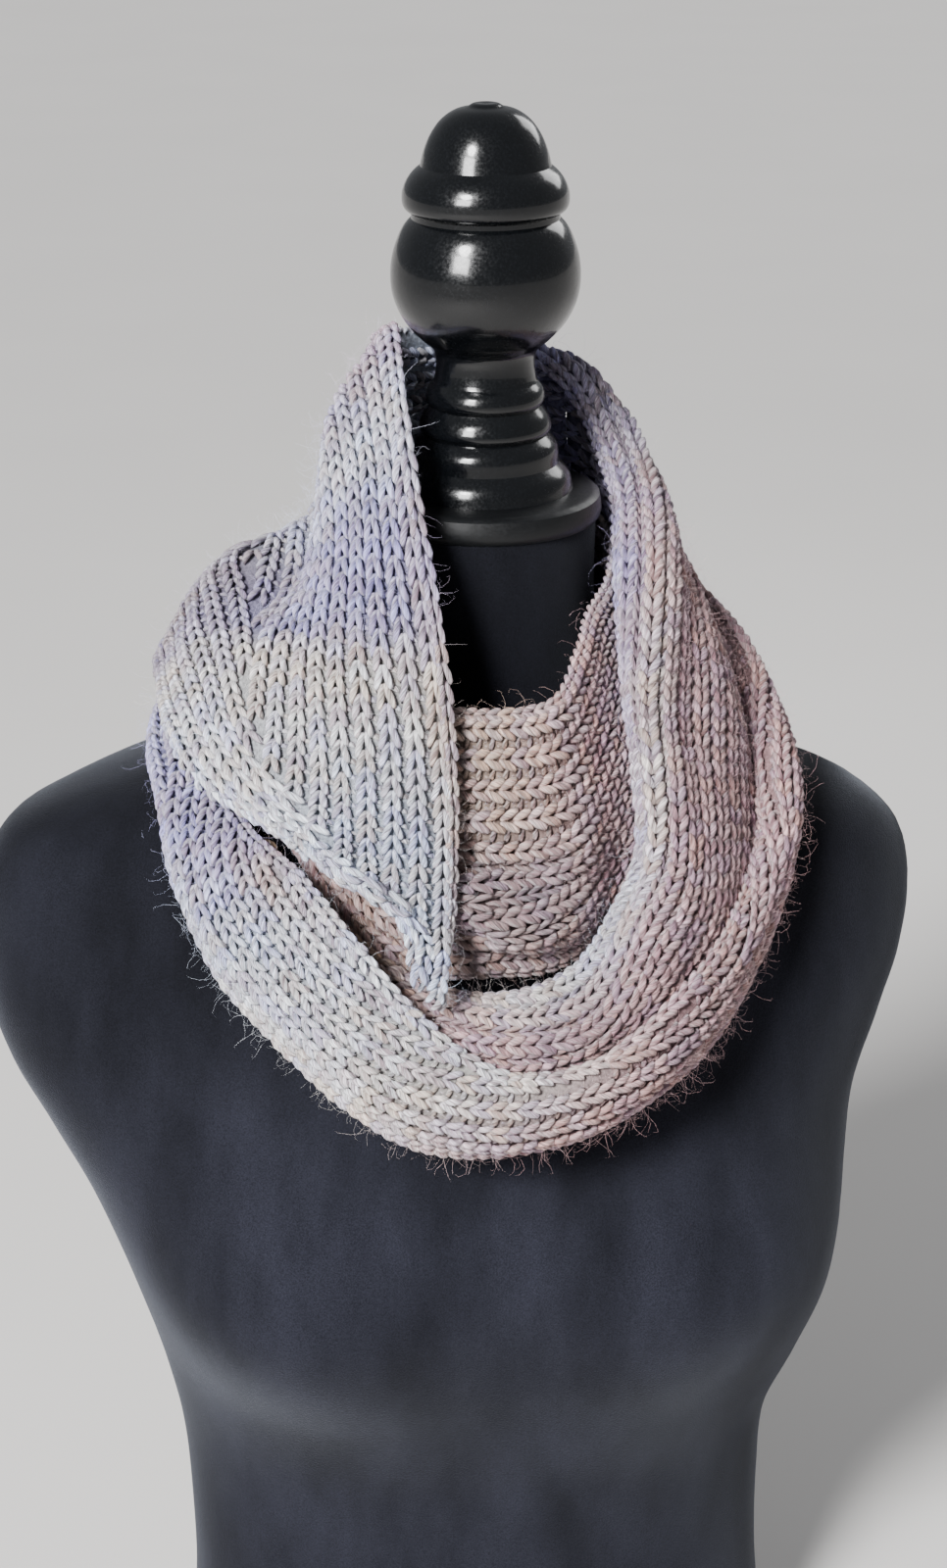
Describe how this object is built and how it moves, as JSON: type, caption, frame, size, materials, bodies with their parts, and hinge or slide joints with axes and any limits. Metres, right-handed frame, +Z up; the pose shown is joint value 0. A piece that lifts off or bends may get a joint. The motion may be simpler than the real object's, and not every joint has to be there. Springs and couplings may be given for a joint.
{
  "type": "infinity scarf on a limbless dress form",
  "caption": "Loop of chunky ribbed knit wound into a loose cowl round the neck of a padded, limbless dress form with a flat base, a black neck cap and a turned finial.",
  "frame": {"origin": "on the floor, on the form's flat underside, straight below the axis of the neck, the neck cap and the finial", "axes": "+Z up; the scarf's front, with its crossing and its widest panel, faces -Y; +X is the viewer's right when looking at the front; the form itself stands turned 8 degrees to the viewer's right"},
  "size_m": [0.4317, 0.2853, 0.799],
  "materials": {
    "velvet": "matte",
    "cap_black": "satin",
    "finial_black": "gloss",
    "knit": "matte"
  },
  "bodies": {
    "root": {"form_torso": "velvet", "neck_cap": "cap_black", "finial": "finial_black", "scarf_left_fall": "knit", "scarf_lapel": "knit", "scarf_back_high": "knit", "scarf_outer_left": "knit", "scarf_outer_front": "knit", "scarf_outer_right": "knit", "scarf_back_low": "knit", "scarf_neck_band": "knit"}
  },
  "joints": []
}
